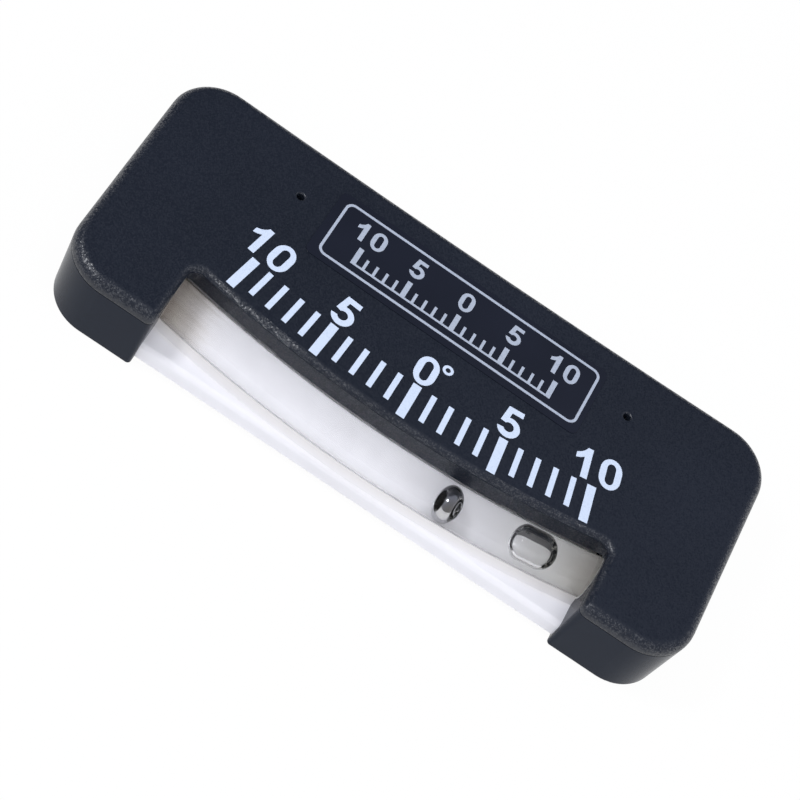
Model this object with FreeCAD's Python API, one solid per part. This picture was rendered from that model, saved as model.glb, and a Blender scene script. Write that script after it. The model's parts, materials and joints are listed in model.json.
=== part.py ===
import FreeCAD, Part
import math
import os

# A ball-in-tube inclinometer that reads ten degrees each way. It lies on its back: +X runs along its
# length, +Y points to its top edge in use, +Z points out of its face. The origin is in the middle of
# the back. All sizes are in millimetres and all angles in degrees.

Vector = FreeCAD.Vector

# ---------------------------------------------------------------- driving dimensions: housing
length = 114.3                # over both feet
height = 48.8                 # soles of the feet to the highest point of the top edge
depth = 14.1                  # back to face
top_hollow = 0.55             # how far the top edge dips between its corners
top_corner_radius = 8.4
foot_corner_radius = 8.7
side_wall = 1.6
back_wall = 1.5
side_draft = 0.65             # how much each side of the body narrows towards the back
back_edge_radius = 0.5
cover_rim = 2.2               # height of the cover's edge, from the seam to the face
cover_plate = 1.5             # thickness of the cover's face
front_edge_radius = 1.9
seam_gap = 0.15               # shadow gap between body and cover
lip_wall = 0.8                # the cover's locating lip, inside the body's wall
lip_reach = 1.0               # how far that lip goes below the seam
lip_clearance = 0.15
lip_above_foot = 3.7          # the lip stops this far above the middle of a foot's rounding

# ---------------------------------------------------------------- driving dimensions: scale and window
scale_radius = 185.75         # the arc through the middle of the short marks
zero_mark_rise = 15.19        # from the soles of the feet up to the lowest point of that arc
window_drop = 5.75            # from that arc down to the window's upper edge
foot_width = 18.0             # from the end of the housing to the window
window_corner_radius = 1.85
window_edge_radius = 1.3      # rounds the window's rim and the inner corner of each foot
window_lip_depth = 3.9        # how far the window's wall goes below the face
window_lip_wall = 1.5
lip_tube_overlap = 0.1        # how far past the tube's holes that wall still goes
foot_rib_wall = 1.6
foot_rib_rise = 2.4           # how far the inner wall of each foot goes up past the window

# ---------------------------------------------------------------- driving dimensions: tube and contents
tube_drop = 9.15              # from the scale's arc down to the tube's centre line
tube_outer_radius = 3.7
tube_bore_radius = 2.5
tube_tail = 1.95              # what stands out of the sleeve at each end of the tube
wall_hole_clearance = 0.3     # round the tube where it goes into a foot; the sleeve's nose fills it
plug_length = 4.75            # inside the tube
plug_flange = 0.8
seal_thickness = 0.8          # section of the sealing ring
seal_inset = 1.6              # from the plug's inner face to the middle of the ring
seal_groove_width = 0.9
sleeve_wall = 0.7
sleeve_length = 4.0
sleeve_gap = 0.6              # from the foot's inner wall to the thick part of the sleeve
seat_play = 0.34              # room at each end of the sleeve's seat
ball_radius = 2.25
ball_angle = 4.1
ball_lift = 0.02              # film of fluid under the resting ball
bubble_angle = 8.48
bubble_length = 7.9
bubble_radius = 2.15
bubble_end_length = 2.3       # the rounded part at each end
bubble_rise = 0.3             # how far the bubble floats above the tube's centre line
fluid_gap = 0.03              # skin between the fluid and what floats or rolls in it

# ---------------------------------------------------------------- driving dimensions: white cradle
cradle_thickness = 3.1
cradle_sole_gap = 1.7         # from the soles of the feet up to the cradle
cradle_back_shelf = 1.5       # how far the cradle hangs below the back wall
cradle_overlap = 9.5          # how far it reaches up behind the cover, from the window's edge
cradle_edge_radius = 1.0
tube_clearance = 0.05         # from the cradle's flat strip up to the tube
trough_clearance = 0.1        # between the tube and the half-round bed that it lies in
trough_lip_rise = 1.38        # how far the bed's front lip rises above the strip
trough_back_rise = 2.05       # how far its back lip rises
trough_lip_slope = 0.8        # how far each lip's slope runs out over the strip

# ---------------------------------------------------------------- driving dimensions: fasteners
screw_radius = 1.1
screw_head_radius = 2.0
screw_head_height = 1.4
screw_length = 7.5
screw_recess = 0.3            # how deep each head sits below the back
head_clearance = 0.2
shank_clearance = 0.15
boss_radius = 3.0
cover_boss_radius = 2.3
boss_top = 6.0                # where the bosses of body and cover meet
drive_slot_width = 0.5        # cross recess in every screw head
drive_slot_length = 2.2
drive_slot_depth = 0.8
head_rounding = 0.35          # share of a head's height that its rim is rounded by
top_screw_offset = (1.0, 0.8)        # from the centre of a top corner's rounding
foot_screw_offset = (2.75, -3.3)     # from the centre of a foot corner's rounding
cradle_screw_radius = 0.9
cradle_screw_head_radius = 1.7
cradle_screw_head_height = 1.1
cradle_screw_bite = 2.4
cradle_screw_angles = (-8.0, 0.0, 8.0)
cradle_screw_rise = 5.5       # above the window's edge
cradle_boss_radius = 2.4
cradle_boss_height = 1.4
fixing_hole_radius = 0.65
fixing_hole_spacing = 63.4
fixing_hole_below_top = 11.54
fixing_hole_edge = 0.35       # rounds the holes' rims in the face
fixing_post_radius = 2.2

# ---------------------------------------------------------------- driving dimensions: printing
ink = 0.04
minor_mark = (0.97, 5.8)      # width and length
major_mark = (1.57, 7.2)
major_mark_drop = 0.65        # the long marks' middles lie this far below the short ones'
full_scale = 10               # degrees each way
major_step = 5
digit_height = 5.95
digit_pitch = 5.0             # between the two digits of a ten
zero_size = (3.85, 5.95)
zero_stroke = (1.15, 0.92)    # at the sides, at top and bottom
zero_crown = 0.6              # height of its rounded top and bottom, as a share of its width
zero_rise = 6.33              # from the scale's arc up to the middle of the 0
five_rise = 6.43
ten_rise = 6.6
degree_ring_centre = (2.91, 8.91)    # from the middle of the zero mark
degree_ring_radius = 0.95
degree_ring_stroke = 0.5
label_shift = (-0.09, 0.16)   # from the middle of the space between numerals and top edge
label_tilt = -0.57
film_thickness = 0.12
film_margin = (1.53, 1.44)    # film beyond the printed frame, at the ends and at top and bottom
film_shift = (-0.33, -0.17)   # from the middle of the frame, because the film was cut a little off
film_turn = -0.3
film_corner_radius = 1.2
frame_half = (24.57, 6.09)
frame_line = 0.48
frame_corner_radius = 1.3
label_digit_height = 4.0
label_digit_y = 2.5
label_number_pitch = 9.4
label_mark_pitch = 1.88
label_mark_low = -4.3
label_minor_mark = (0.5, 2.3)
label_major_mark = (0.9, 3.6)
label_base_line = 0.4

# ---------------------------------------------------------------- values worked out from those above
sole_y = -height / 2
zero_mark_y = sole_y + zero_mark_rise
arc_centre = Vector(0, zero_mark_y + scale_radius, 0)
window_half_width = length / 2 - foot_width
seam_z = depth - cover_rim
cover_bottom_z = seam_z + seam_gap
plate_under_z = depth - cover_plate
plate_middle_z = depth - cover_plate / 2
window_radius = scale_radius + window_drop
tube_radius = scale_radius + tube_drop
cradle_face_z = back_wall + cradle_thickness
tube_z = cradle_face_z + tube_clearance + tube_outer_radius
lip_z = depth - window_lip_depth
trough_radius = tube_outer_radius + trough_clearance
cradle_bottom = sole_y + cradle_sole_gap
back_plate_low = cradle_bottom + cradle_back_shelf
through = 1.0                 # how far cutting tools run past what they cut
corner_x = length / 2 - top_corner_radius
corner_y = height / 2 - top_corner_radius
foot_corner_x = length / 2 - foot_corner_radius
foot_corner_y = sole_y + foot_corner_radius
hollow_arc_radius = (corner_x ** 2 + top_hollow ** 2) / (2 * top_hollow) - top_corner_radius
hollow_centre = Vector(0, corner_y + top_corner_radius - top_hollow + hollow_arc_radius, 0)
up_z = Vector(0, 0, 1)
lip_bottom = foot_corner_y + lip_above_foot
window_end_y = arc_centre.y - math.sqrt(window_radius ** 2 - window_half_width ** 2)
foot_rib_top = window_end_y + foot_rib_rise
numerals_top = zero_mark_y + zero_rise + digit_height / 2
face_top = height / 2 - top_hollow - front_edge_radius
label_centre = (label_shift[0], (numerals_top + face_top) / 2 + label_shift[1])


# ---------------------------------------------------------------- helpers: outlines
def at(x, y, z=0.0):
    return Vector(x, y, z)


def line(start, end):
    return Part.LineSegment(start, end).toShape()


def arc(start, middle, end):
    return Part.Arc(start, middle, end).toShape()


def corner_arc(centre, radius, from_angle, to_angle):
    """Arc about centre; the angles are in degrees, counter-clockwise from +X."""
    points = []
    for angle in (from_angle, (from_angle + to_angle) / 2, to_angle):
        turn = math.radians(angle)
        points.append(centre + Vector(radius * math.cos(turn), radius * math.sin(turn), 0))
    return arc(*points)


def joined(curves):
    """Closed wire of curves that follow each other, with straight lines where they leave a gap."""
    edges = []
    for index, curve in enumerate(curves):
        following = curves[(index + 1) % len(curves)]
        edges.append(curve)
        end = curve.valueAt(curve.LastParameter)
        start = following.valueAt(following.FirstParameter)
        if end.distanceToPoint(start) > 1e-7:
            edges.append(line(end, start))
    return Part.Wire(edges)


def mirrored_x(curve):
    """The curve's mirror image, run the other way round."""
    first = curve.valueAt(curve.LastParameter)
    last = curve.valueAt(curve.FirstParameter)
    halfway = (curve.FirstParameter + curve.LastParameter) / 2
    middle = curve.valueAt(halfway)
    return arc(at(-first.x, first.y), at(-middle.x, middle.y), at(-last.x, last.y))


def housing_wire(inset, z=0.0, notch_top=None):
    """Outline of the housing, moved inwards by inset; notch_top opens the gap between the feet."""
    top_radius = max(top_corner_radius - inset, 0.2)
    foot_radius = max(foot_corner_radius - inset, 0.2)
    corner = at(length / 2 - inset - top_radius, height / 2 - inset - top_radius)
    towards = hollow_centre - corner
    meeting = math.degrees(math.atan2(towards.y, towards.x))
    top_right = corner_arc(corner, top_radius, 0, meeting)
    start = top_right.valueAt(top_right.LastParameter)
    dip = at(0, hollow_centre.y - hollow_centre.distanceToPoint(start))
    top = arc(start, dip, at(-start.x, start.y))
    foot = at(length / 2 - inset - foot_radius, sole_y + inset + foot_radius)
    foot_right = corner_arc(foot, foot_radius, -90, 0)
    curves = [top_right, top, mirrored_x(top_right), mirrored_x(foot_right)]
    if notch_top is not None:
        bend = max(window_edge_radius - inset, 0.2)
        inner = corner_arc(at(window_half_width + bend, sole_y + inset + bend), bend, 180, 270)
        curves.append(mirrored_x(inner))
        curves.append(line(at(-window_half_width, notch_top), at(window_half_width, notch_top)))
        curves.append(inner)
    curves.append(foot_right)
    wire = joined(curves)
    wire.translate(at(0, 0, z))
    return wire


def window_wire(grow=0.0, low=sole_y - through):
    """Outline of the window and of the gap between the feet, made larger by grow."""
    half = window_half_width + grow
    bend = window_corner_radius + grow
    radius = window_radius - grow
    inner = half - bend
    reach = math.sqrt((radius + bend) ** 2 - inner ** 2)
    corner = at(inner, arc_centre.y - reach)
    meeting = math.degrees(math.atan2(arc_centre.y - corner.y, -corner.x))
    right = corner_arc(corner, bend, 0, meeting)
    start = right.valueAt(right.LastParameter)
    top = arc(start, at(0, arc_centre.y - radius), at(-start.x, start.y))
    bottom = line(at(-half, low), at(half, low))
    return joined([right, top, mirrored_x(right), bottom])


def prism(wire, low, high):
    face = Part.Face(wire)
    face.translate(at(0, 0, low))
    return face.extrude(at(0, 0, high - low))


def rounded_rectangle(half_x, half_y, radius):
    curves = []
    for start, side_x, side_y in ((0, 1, 1), (90, -1, 1), (180, -1, -1), (270, 1, -1)):
        corner = at(side_x * (half_x - radius), side_y * (half_y - radius))
        curves.append(corner_arc(corner, radius, start, start + 90))
    return joined(curves)


def box(low, high):
    size = high - low
    return Part.makeBox(size.x, size.y, size.z, low)


def post(x, y, radius, low, high):
    return Part.makeCylinder(radius, high - low, at(x, y, low))


def fused(shapes):
    return shapes[0].multiFuse(shapes[1:]).removeSplitter()


# ---------------------------------------------------------------- helpers: the bent tube
def on_arc(radius, angle, z=0.0):
    """Point at an angle from the zero mark, on an arc about the instrument's centre."""
    turn = math.radians(angle)
    return at(radius * math.sin(turn), arc_centre.y - radius * math.cos(turn), z)


def bent_rod(radius, from_angle, to_angle):
    """Round rod that follows the tube's centre line between two angles."""
    middle = on_arc(tube_radius, 0, tube_z)
    disc = Part.Face(Part.Wire(Part.Circle(middle, at(1, 0, 0), radius).toShape()))
    disc.rotate(arc_centre, up_z, from_angle)
    return disc.revolve(arc_centre, up_z, to_angle - from_angle)


def arc_angle(distance):
    """The angle that a distance along the tube's centre line takes up."""
    return math.degrees(distance / tube_radius)


def both_sides(shape):
    return [shape, shape.mirror(at(0, 0, 0), at(1, 0, 0))]


# ---------------------------------------------------------------- screw places
screw_places = [(corner_x + top_screw_offset[0], corner_y + top_screw_offset[1]),
                (foot_corner_x + foot_screw_offset[0], foot_corner_y + foot_screw_offset[1])]
screw_places += [(-x, y) for x, y in screw_places]
screw_head_z = screw_recess + screw_head_height
cradle_screw_line = window_radius - cradle_screw_rise
cradle_screw_places = [on_arc(cradle_screw_line, angle) for angle in cradle_screw_angles]
fixing_places = [(side * fixing_hole_spacing / 2, height / 2 - fixing_hole_below_top)
                 for side in (-1, 1)]
sleeve_from = math.degrees(math.asin((window_half_width + foot_rib_wall + sleeve_gap) / tube_radius))
sleeve_to = sleeve_from + arc_angle(sleeve_length)
sleeve_radius = tube_outer_radius + sleeve_wall
wall_hole_radius = tube_outer_radius + wall_hole_clearance
tube_end_angle = sleeve_to + arc_angle(tube_tail)
plug_inner_angle = tube_end_angle - arc_angle(plug_length)


# ---------------------------------------------------------------- body
def body_draft(z):
    return side_draft * (seam_z - z) / seam_z


def make_body():
    bottom = housing_wire(side_draft, 0, back_plate_low)
    top = housing_wire(0, seam_z, back_plate_low)
    body = Part.makeLoft([bottom, top], True, True)
    rim = [edge for edge in body.Edges if edge.BoundBox.ZMax < 1e-6]
    body = body.makeFillet(back_edge_radius, rim)

    pocket_low = housing_wire(side_wall + body_draft(back_wall), back_wall)
    pocket_high = housing_wire(side_wall, seam_z)
    pocket = Part.makeLoft([pocket_low, pocket_high], True, True)
    rib = box(at(window_half_width, sole_y - through, 0),
              at(window_half_width + foot_rib_wall, foot_rib_top, depth))
    pocket = pocket.cut(both_sides(rib))
    body = body.cut(pocket)

    added = [post(x, y, boss_radius, back_wall / 2, boss_top) for x, y in screw_places]
    added += [post(x, y, fixing_post_radius, back_wall / 2, boss_top) for x, y in fixing_places]
    added += [post(place.x, place.y, cradle_boss_radius, back_wall / 2, back_wall + cradle_boss_height)
              for place in cradle_screw_places]
    added += both_sides(tube_saddle())
    body = fused([body] + added)

    cuts = tube_hollows()
    cuts += both_sides(rib_slot())
    for x, y in screw_places:
        cuts.append(post(x, y, screw_head_radius + head_clearance, -through, screw_head_z))
        cuts.append(post(x, y, screw_radius + shank_clearance, 0, boss_top + through))
    for x, y in fixing_places:
        cuts.append(post(x, y, fixing_hole_radius, -through, boss_top + through))
    for place in cradle_screw_places:
        cuts.append(post(place.x, place.y, cradle_screw_radius, cradle_screw_end(), depth))
    return body.cut(cuts).removeSplitter()


def tube_hollows():
    """Room for the tube in the wall of each foot, and the seat of each sleeve."""
    hollows = []
    for side in (-1, 1):
        hollows.append(bent_rod(wall_hole_radius, side * plug_inner_angle / 2,
                                side * (tube_end_angle + arc_angle(plug_flange) + 1)))
        hollows.append(bent_rod(sleeve_radius, side * (sleeve_from - arc_angle(seat_play)),
                                side * (sleeve_to + arc_angle(seat_play))))
    return hollows


def rib_slot():
    """Opening in a foot's inner wall that lets the tube be laid in from the front."""
    middle = on_arc(tube_radius, sleeve_from, tube_z)
    return box(at(window_half_width - through, middle.y - wall_hole_radius, tube_z),
               at(window_half_width + foot_rib_wall + through, foot_rib_top + through, depth))


def tube_saddle():
    """Block on the back wall that carries the tube's rubber sleeve."""
    middle_angle = (sleeve_from + sleeve_to) / 2
    middle = on_arc(tube_radius, middle_angle, tube_z)
    half_x = sleeve_length / 2 - side_wall / 2
    half_y = sleeve_radius + side_wall
    block = box(at(middle.x - half_x, middle.y - half_y, back_wall / 2),
                at(middle.x + half_x, middle.y + half_y, tube_z - tube_clearance))
    return block


# ---------------------------------------------------------------- cover
def make_cover():
    blank = prism(housing_wire(0), cover_bottom_z, depth)
    front = [edge for edge in blank.Edges if edge.BoundBox.ZMin > depth - 1e-6]
    blank = blank.makeFillet(front_edge_radius, front)
    blank = blank.cut(prism(window_wire(), cover_bottom_z - through, depth + through))
    blank = blank.makeFillet(window_edge_radius, window_rim_edges(blank))

    pocket = prism(housing_wire(side_wall), cover_bottom_z - through, plate_under_z)
    pocket = pocket.cut(prism(window_wire(window_lip_wall), cover_bottom_z - through, plate_under_z))
    cover = blank.cut(pocket)

    added = [window_lip()]
    added.append(locating_lip())
    added += [post(x, y, cover_boss_radius, boss_top, plate_middle_z)
              for x, y in screw_places]
    added += [post(x, y, fixing_post_radius, boss_top, plate_middle_z)
              for x, y in fixing_places]
    cover = fused([cover] + added)

    cuts = tube_hollows()
    for x, y in screw_places:
        cuts.append(post(x, y, screw_radius, boss_top - through, screw_tip_z()))
    for x, y in fixing_places:
        cuts.append(post(x, y, fixing_hole_radius, boss_top - through, depth + through))
    cover = cover.cut(cuts).removeSplitter()
    return cover.makeFillet(fixing_hole_edge, hole_rim_edges(cover))


def hole_rim_edges(shape):
    """The round edges that the two fixing holes leave in the face."""
    return [edge for edge in shape.Edges if edge.BoundBox.ZMin > depth - 1e-4
            and abs(edge.BoundBox.XLength - 2 * fixing_hole_radius) < 1e-4]


def window_rim_edges(shape):
    """The run of edges up each foot's inner corner and all along the window's rim."""
    found = []
    for edge in shape.Edges:
        bounds = edge.BoundBox
        inside = abs(edge.CenterOfMass.x) < window_half_width + 0.01
        on_face = bounds.ZMin > depth - 1e-4 and abs(edge.CenterOfMass.y) < height / 2 - top_hollow - 0.1
        on_corner = bounds.XMax - bounds.XMin < 1e-4 and bounds.YMax < sole_y + front_edge_radius + 0.01
        on_wall = abs(abs(edge.CenterOfMass.x) - window_half_width) < 1e-4
        if inside and (on_face or (on_corner and on_wall)):
            found.append(edge)
    return found


def window_lip():
    """Wall that goes down from the window's rim to the tube."""
    outer = prism(window_wire(window_lip_wall), lip_z, plate_middle_z)
    inner = prism(window_wire(), lip_z - through, depth)
    middle = on_arc(tube_radius, sleeve_from, tube_z)
    below = box(at(-length, sole_y - 2 * through, 0),
                at(length, middle.y - wall_hole_radius + lip_tube_overlap, depth))
    return outer.cut([inner, below])


def locating_lip():
    """Thin wall that slips inside the body's side wall."""
    outer = prism(housing_wire(side_wall + lip_clearance), seam_z - lip_reach,
                  plate_middle_z)
    inner = prism(housing_wire(side_wall + lip_clearance + lip_wall), 0, depth)
    below = box(at(-length, -length, 0), at(length, lip_bottom, depth))
    return outer.cut([inner, below])


# ---------------------------------------------------------------- white cradle
def tube_bed():
    """Ridge that the tube's bed is cut into, with a lip in front of the tube and one behind it."""
    foot = cradle_face_z - through
    front_top = cradle_face_z + trough_lip_rise
    back_top = cradle_face_z + trough_back_rise
    front = math.sqrt(trough_radius ** 2 - (tube_z - front_top) ** 2)
    back = -math.sqrt(trough_radius ** 2 - (tube_z - back_top) ** 2)
    profile = [(back - trough_lip_slope, foot), (back - trough_lip_slope, cradle_face_z), (back, back_top),
               (front, front_top), (front + trough_lip_slope, cradle_face_z), (front + trough_lip_slope, foot)]
    corners = [on_arc(tube_radius + outwards, 0, z) for outwards, z in profile]
    section = Part.Face(Part.makePolygon(corners + corners[:1]))
    section.rotate(arc_centre, up_z, -tube_end_angle)
    ridge = section.revolve(arc_centre, up_z, 2 * tube_end_angle)
    return ridge.common(box(at(-window_half_width, cradle_bottom, 0), at(window_half_width, height, depth)))


def make_cradle():
    half = window_half_width
    top_radius = window_radius - cradle_overlap
    top_y = arc_centre.y - math.sqrt(top_radius ** 2 - half ** 2)
    sides = [line(at(-half, top_y), at(-half, cradle_bottom)),
             line(at(-half, cradle_bottom), at(half, cradle_bottom)),
             line(at(half, cradle_bottom), at(half, top_y)),
             arc(at(half, top_y), on_arc(top_radius, 0), at(-half, top_y))]
    cradle = prism(Part.Wire(sides), back_wall, cradle_face_z)
    front_low = [edge for edge in cradle.Edges
                 if edge.BoundBox.YMax < cradle_bottom + 1e-6 and edge.BoundBox.ZMin > cradle_face_z - 1e-6]
    cradle = cradle.makeFillet(cradle_edge_radius, front_low)
    cradle = fused([cradle, tube_bed()])
    cuts = [bent_rod(trough_radius, -tube_end_angle, tube_end_angle)]
    for place in cradle_screw_places:
        cuts.append(post(place.x, place.y, cradle_boss_radius, 0, back_wall + cradle_boss_height))
        cuts.append(post(place.x, place.y, cradle_screw_radius, 0, depth))
    return cradle.cut(cuts)


# ---------------------------------------------------------------- tube and what it holds
def make_tube():
    tube = bent_rod(tube_outer_radius, -tube_end_angle, tube_end_angle)
    return tube.cut(bent_rod(tube_bore_radius, -tube_end_angle - 1, tube_end_angle + 1))


def seal_angle():
    return plug_inner_angle + arc_angle(seal_inset)


def make_plug(side):
    body = bent_rod(tube_bore_radius, side * plug_inner_angle, side * tube_end_angle)
    flange_end = tube_end_angle + arc_angle(plug_flange)
    flange = bent_rod(tube_outer_radius, side * tube_end_angle, side * flange_end)
    half = arc_angle(seal_groove_width / 2)
    low, high = side * (seal_angle() - half), side * (seal_angle() + half)
    groove = bent_rod(tube_bore_radius + through, low, high)
    groove = groove.cut(bent_rod(tube_bore_radius - seal_thickness, low - side, high + side))
    return fused([body, flange]).cut(groove)


def make_seal(side):
    centre = on_arc(tube_radius, side * seal_angle(), tube_z)
    turn = math.radians(side * seal_angle())
    along = at(math.cos(turn), math.sin(turn))
    section = seal_thickness / 2
    return Part.makeTorus(tube_bore_radius - section, section, centre, along)


def make_sleeve(side):
    """Rubber sleeve whose thin nose fills the hole in the foot's inner wall, flush with its face."""
    sleeve = bent_rod(sleeve_radius, side * sleeve_from, side * sleeve_to)
    nose = bent_rod(wall_hole_radius, side * (plug_inner_angle / 2), side * sleeve_to)
    bore = bent_rod(tube_outer_radius, side * (plug_inner_angle / 2 - 1), side * (sleeve_to + 1))
    window = box(at(-window_half_width, -length, 0), at(window_half_width, length, depth))
    return fused([sleeve, nose]).cut([bore, window])


def ball(grow=0.0):
    rest_z = tube_z - tube_bore_radius + ball_radius + ball_lift
    return Part.makeSphere(ball_radius + grow, on_arc(tube_radius, ball_angle, rest_z))


def bubble(grow=0.0):
    """Long round bubble with domed ends."""
    dome = bubble_end_length + grow
    radius = bubble_radius + grow
    straight = bubble_length / 2 - bubble_end_length
    quarter = Part.Ellipse(at(straight + dome, 0), at(straight, radius), at(straight, 0))
    right = Part.ArcOfEllipse(quarter, 0, math.pi / 2).toShape()
    left = right.mirror(at(0, 0), at(1, 0, 0))
    outline = Part.Wire([line(at(-straight - dome, 0), at(straight + dome, 0)), right,
                         line(at(straight, radius), at(-straight, radius)), left])
    shape = Part.Face(outline).revolve(at(0, 0), at(1, 0, 0), 360)
    shape.translate(on_arc(tube_radius, 0, tube_z + bubble_rise))
    shape.rotate(arc_centre, up_z, bubble_angle)
    return shape


def make_fluid():
    fill = bent_rod(tube_bore_radius, -plug_inner_angle, plug_inner_angle)
    return fill.cut([ball(fluid_gap), bubble(fluid_gap)])


# ---------------------------------------------------------------- screws
def cradle_screw_end():
    return back_wall + cradle_boss_height - cradle_screw_bite


def screw_tip_z():
    return screw_head_z + screw_length


def screw(x, y, head_low, head_high, tip, shank_radius, head_radius):
    """Pan-head screw with a cross recess; the recess is in the face away from the tip."""
    head = post(x, y, head_radius, min(head_low, head_high), max(head_low, head_high))
    rim = [edge for edge in head.Edges if abs(edge.BoundBox.ZMin - head_low) < 1e-6
           and edge.BoundBox.ZLength < 1e-6]
    head = head.makeFillet(abs(head_high - head_low) * head_rounding, rim)
    shank = post(x, y, shank_radius, min(head_high, tip), max(head_high, tip))
    inward = 1 if head_high > head_low else -1
    slots = []
    for long_x in (True, False):
        half_long = drive_slot_length / 2
        half_wide = drive_slot_width / 2
        half_x, half_y = (half_long, half_wide) if long_x else (half_wide, half_long)
        floor = head_low + inward * drive_slot_depth
        mouth = head_low - inward * through
        slots.append(box(at(x - half_x, y - half_y, min(floor, mouth)),
                         at(x + half_x, y + half_y, max(floor, mouth))))
    return fused([head, shank]).cut(slots)


def make_housing_screws():
    return Part.makeCompound([screw(x, y, screw_recess, screw_head_z, screw_tip_z(), screw_radius,
                                    screw_head_radius) for x, y in screw_places])


def make_cradle_screws():
    head_top = cradle_face_z + cradle_screw_head_height
    return Part.makeCompound([screw(place.x, place.y, head_top, cradle_face_z, cradle_screw_end(),
                                    cradle_screw_radius, cradle_screw_head_radius)
                              for place in cradle_screw_places])


# ---------------------------------------------------------------- printed marks and numerals
def printed(face, z):
    face = face.copy()
    face.translate(at(0, 0, z))
    return face.extrude(at(0, 0, ink))


def bar(width, size):
    return Part.Face(Part.makePolygon([at(-width / 2, -size / 2), at(width / 2, -size / 2),
                                       at(width / 2, size / 2), at(-width / 2, size / 2),
                                       at(-width / 2, -size / 2)]))


def oval(width, tall):
    """Upright oval: half ellipses at top and bottom, joined by short straight sides."""
    rise = min(zero_crown * width, tall / 2)
    straight = tall / 2 - rise
    edges = []
    for side in (1, -1):
        centre = at(0, side * straight)
        across = at(side * width / 2, 0)
        over = at(0, side * rise)
        if rise > width / 2:
            half = Part.ArcOfEllipse(Part.Ellipse(centre + over, centre - across, centre),
                                     -math.pi / 2, math.pi / 2)
        else:
            half = Part.ArcOfEllipse(Part.Ellipse(centre + across, centre + over, centre), 0, math.pi)
        edges.append(half.toShape())
    return Part.Face(joined(edges))


def zero(tall):
    size = tall / zero_size[1]
    outer = oval(zero_size[0] * size, tall)
    hole = oval((zero_size[0] - 2 * zero_stroke[0]) * size, (zero_size[1] - 2 * zero_stroke[1]) * size)
    return outer.cut(hole).Faces[0]


def scaled_points(points, tall, wide_units, tall_units):
    """Points of a digit, moved so that its box is centred on the origin and is as tall as asked."""
    size = tall / tall_units
    return [at((x - wide_units / 2) * size, (y - tall_units / 2) * size) for x, y in points]


def one(tall):
    """Upright stem with a curved flag, drawn 2.67 wide and 5.95 tall."""
    p = scaled_points([(1.47, 0), (2.67, 0), (2.67, 5.95), (1.72, 5.95), (0.99, 4.95), (0, 4.37),
                       (0, 3.32), (0.74, 3.56), (1.47, 4.02)], tall, 2.67, 5.95)
    edges = [line(p[0], p[1]), line(p[1], p[2]), line(p[2], p[3]), arc(p[3], p[4], p[5]),
             line(p[5], p[6]), arc(p[6], p[7], p[8]), line(p[8], p[0])]
    return Part.Face(Part.Wire(edges))


def five(tall):
    """Top bar, leaning stem and round bowl, drawn 3.9 wide and 5.95 tall."""
    p = scaled_points([(3.58, 5.95), (0.78, 5.95), (0.22, 2.78), (1.18, 2.6), (2.8, 1.95), (1.1, 1.6),
                       (0, 1.5), (1.9, 0), (3.9, 1.95), (3.3, 3.36), (1.5, 3.85), (1.66, 4.9),
                       (3.58, 4.9)], tall, 3.9, 5.95)
    edges = [line(p[0], p[1]), line(p[1], p[2]), line(p[2], p[3]), arc(p[3], p[4], p[5]),
             line(p[5], p[6]), arc(p[6], p[7], p[8]), arc(p[8], p[9], p[10]), line(p[10], p[11]),
             line(p[11], p[12]), line(p[12], p[0])]
    return Part.Face(Part.Wire(edges))


def number(value, tall, pitch):
    """Faces of a printed 0, 5 or 10, centred on the origin."""
    if value == 0:
        return [zero(tall)]
    if value == major_step:
        return [five(tall)]
    left = one(tall)
    left.translate(at(-pitch / 2, 0))
    right = zero(tall)
    right.translate(at(pitch / 2, 0))
    return [left, right]


def turned_into_place(faces, radius, angle):
    """Faces drawn upright at the origin, moved to an angle of the scale and turned with it."""
    placed = []
    for face in faces:
        face.translate(on_arc(radius, 0))
        face.rotate(arc_centre, up_z, angle)
        placed.append(face)
    return placed


def make_minor_marks():
    faces = []
    for angle in range(-full_scale, full_scale + 1):
        if angle % major_step:
            faces += turned_into_place([bar(*minor_mark)], scale_radius, angle)
    return Part.makeCompound([printed(face, depth) for face in faces])


def make_major_marks():
    faces = []
    for angle in range(-full_scale, full_scale + 1, major_step):
        faces += turned_into_place([bar(*major_mark)], scale_radius + major_mark_drop, angle)
    return Part.makeCompound([printed(face, depth) for face in faces])


def make_numerals():
    faces = []
    for angle in range(-full_scale, full_scale + 1, major_step):
        value = abs(angle)
        rise = {0: zero_rise, major_step: five_rise, full_scale: ten_rise}[value]
        faces += turned_into_place(number(value, digit_height, digit_pitch), scale_radius - rise, angle)
    ring = Part.Face(Part.Wire(Part.Circle(at(0, 0), up_z, degree_ring_radius).toShape()))
    hole_radius = degree_ring_radius - degree_ring_stroke
    hole = Part.Face(Part.Wire(Part.Circle(at(0, 0), up_z, hole_radius).toShape()))
    ring = ring.cut(hole).Faces[0]
    ring.translate(at(degree_ring_centre[0], zero_mark_y + degree_ring_centre[1]))
    faces.append(ring)
    return Part.makeCompound([printed(face, depth) for face in faces])


# ---------------------------------------------------------------- label
def on_label(shape):
    """Moves a shape drawn about the origin to the label's place and tilt."""
    shape.rotate(at(0, 0), up_z, label_tilt)
    shape.translate(at(*label_centre))
    return shape


def make_label_film():
    outline = rounded_rectangle(frame_half[0] + film_margin[0], frame_half[1] + film_margin[1],
                                film_corner_radius)
    film = prism(outline, depth, depth + film_thickness)
    film.rotate(at(0, 0), up_z, film_turn)
    film.translate(at(*film_shift))
    return on_label(film)


def make_label_frame():
    outer = Part.Face(rounded_rectangle(frame_half[0] + frame_line / 2, frame_half[1] + frame_line / 2,
                                        frame_corner_radius + frame_line / 2))
    inner = Part.Face(rounded_rectangle(frame_half[0] - frame_line / 2, frame_half[1] - frame_line / 2,
                                        frame_corner_radius - frame_line / 2))
    return on_label(printed(outer.cut(inner).Faces[0], depth + film_thickness))


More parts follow.
